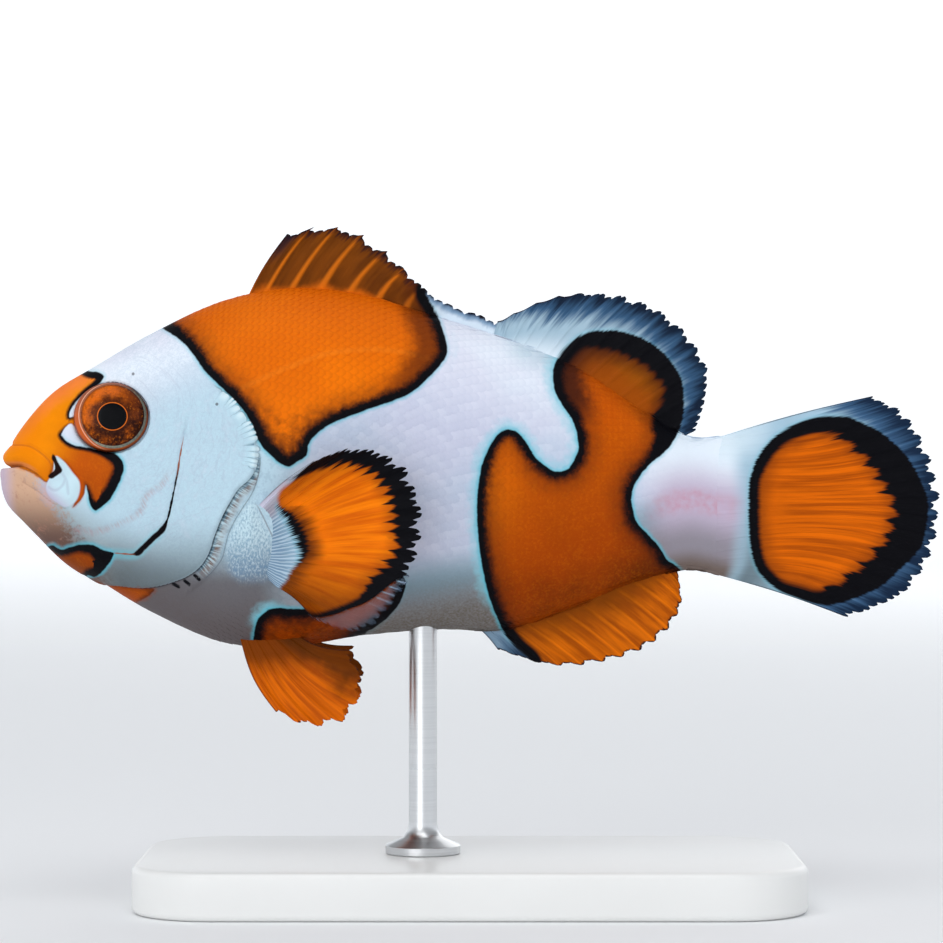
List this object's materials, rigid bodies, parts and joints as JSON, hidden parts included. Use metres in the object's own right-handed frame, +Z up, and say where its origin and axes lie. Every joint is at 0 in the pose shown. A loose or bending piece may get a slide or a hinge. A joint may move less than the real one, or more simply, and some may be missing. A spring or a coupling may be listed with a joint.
{
  "type": "clownfish",
  "caption": "Still life-size clownfish, white with black-edged orange patches, held level on a steel rod above a flat display base.",
  "frame": {"origin": "centre of the display base's underside", "axes": "+Z up, -X the way the fish faces, -Y its left side"},
  "size_m": [0.08, 0.03, 0.0578],
  "materials": {
    "skin": "scaled skin with a wet satin sheen, white with orange patches edged in black",
    "fin": "thin rayed membrane, orange, edged in black or dark blue",
    "eye": "glossy, mottled orange-brown iris round a black pupil",
    "stand_lacquer": "satin lacquer",
    "stand_steel": "fine brushed"
  },
  "bodies": {
    "root": {"head": "skin", "upper_lip": "skin", "lower_jaw": "skin", "gill_cover_left": "skin", "gill_cover_right": "skin", "trunk_front": "skin", "trunk_rear": "skin", "tail_stalk": "skin", "dorsal_fin_front": "fin", "dorsal_fin_rear": "fin", "anal_fin": "fin", "tail_fin": "fin", "pectoral_fin_left": "fin", "pectoral_fin_right": "fin", "pelvic_fin_left": "fin", "pelvic_fin_right": "fin", "eye_left": "eye", "eye_right": "eye", "stand_base": "stand_lacquer", "stand_rod": "stand_steel"}
  },
  "joints": []
}
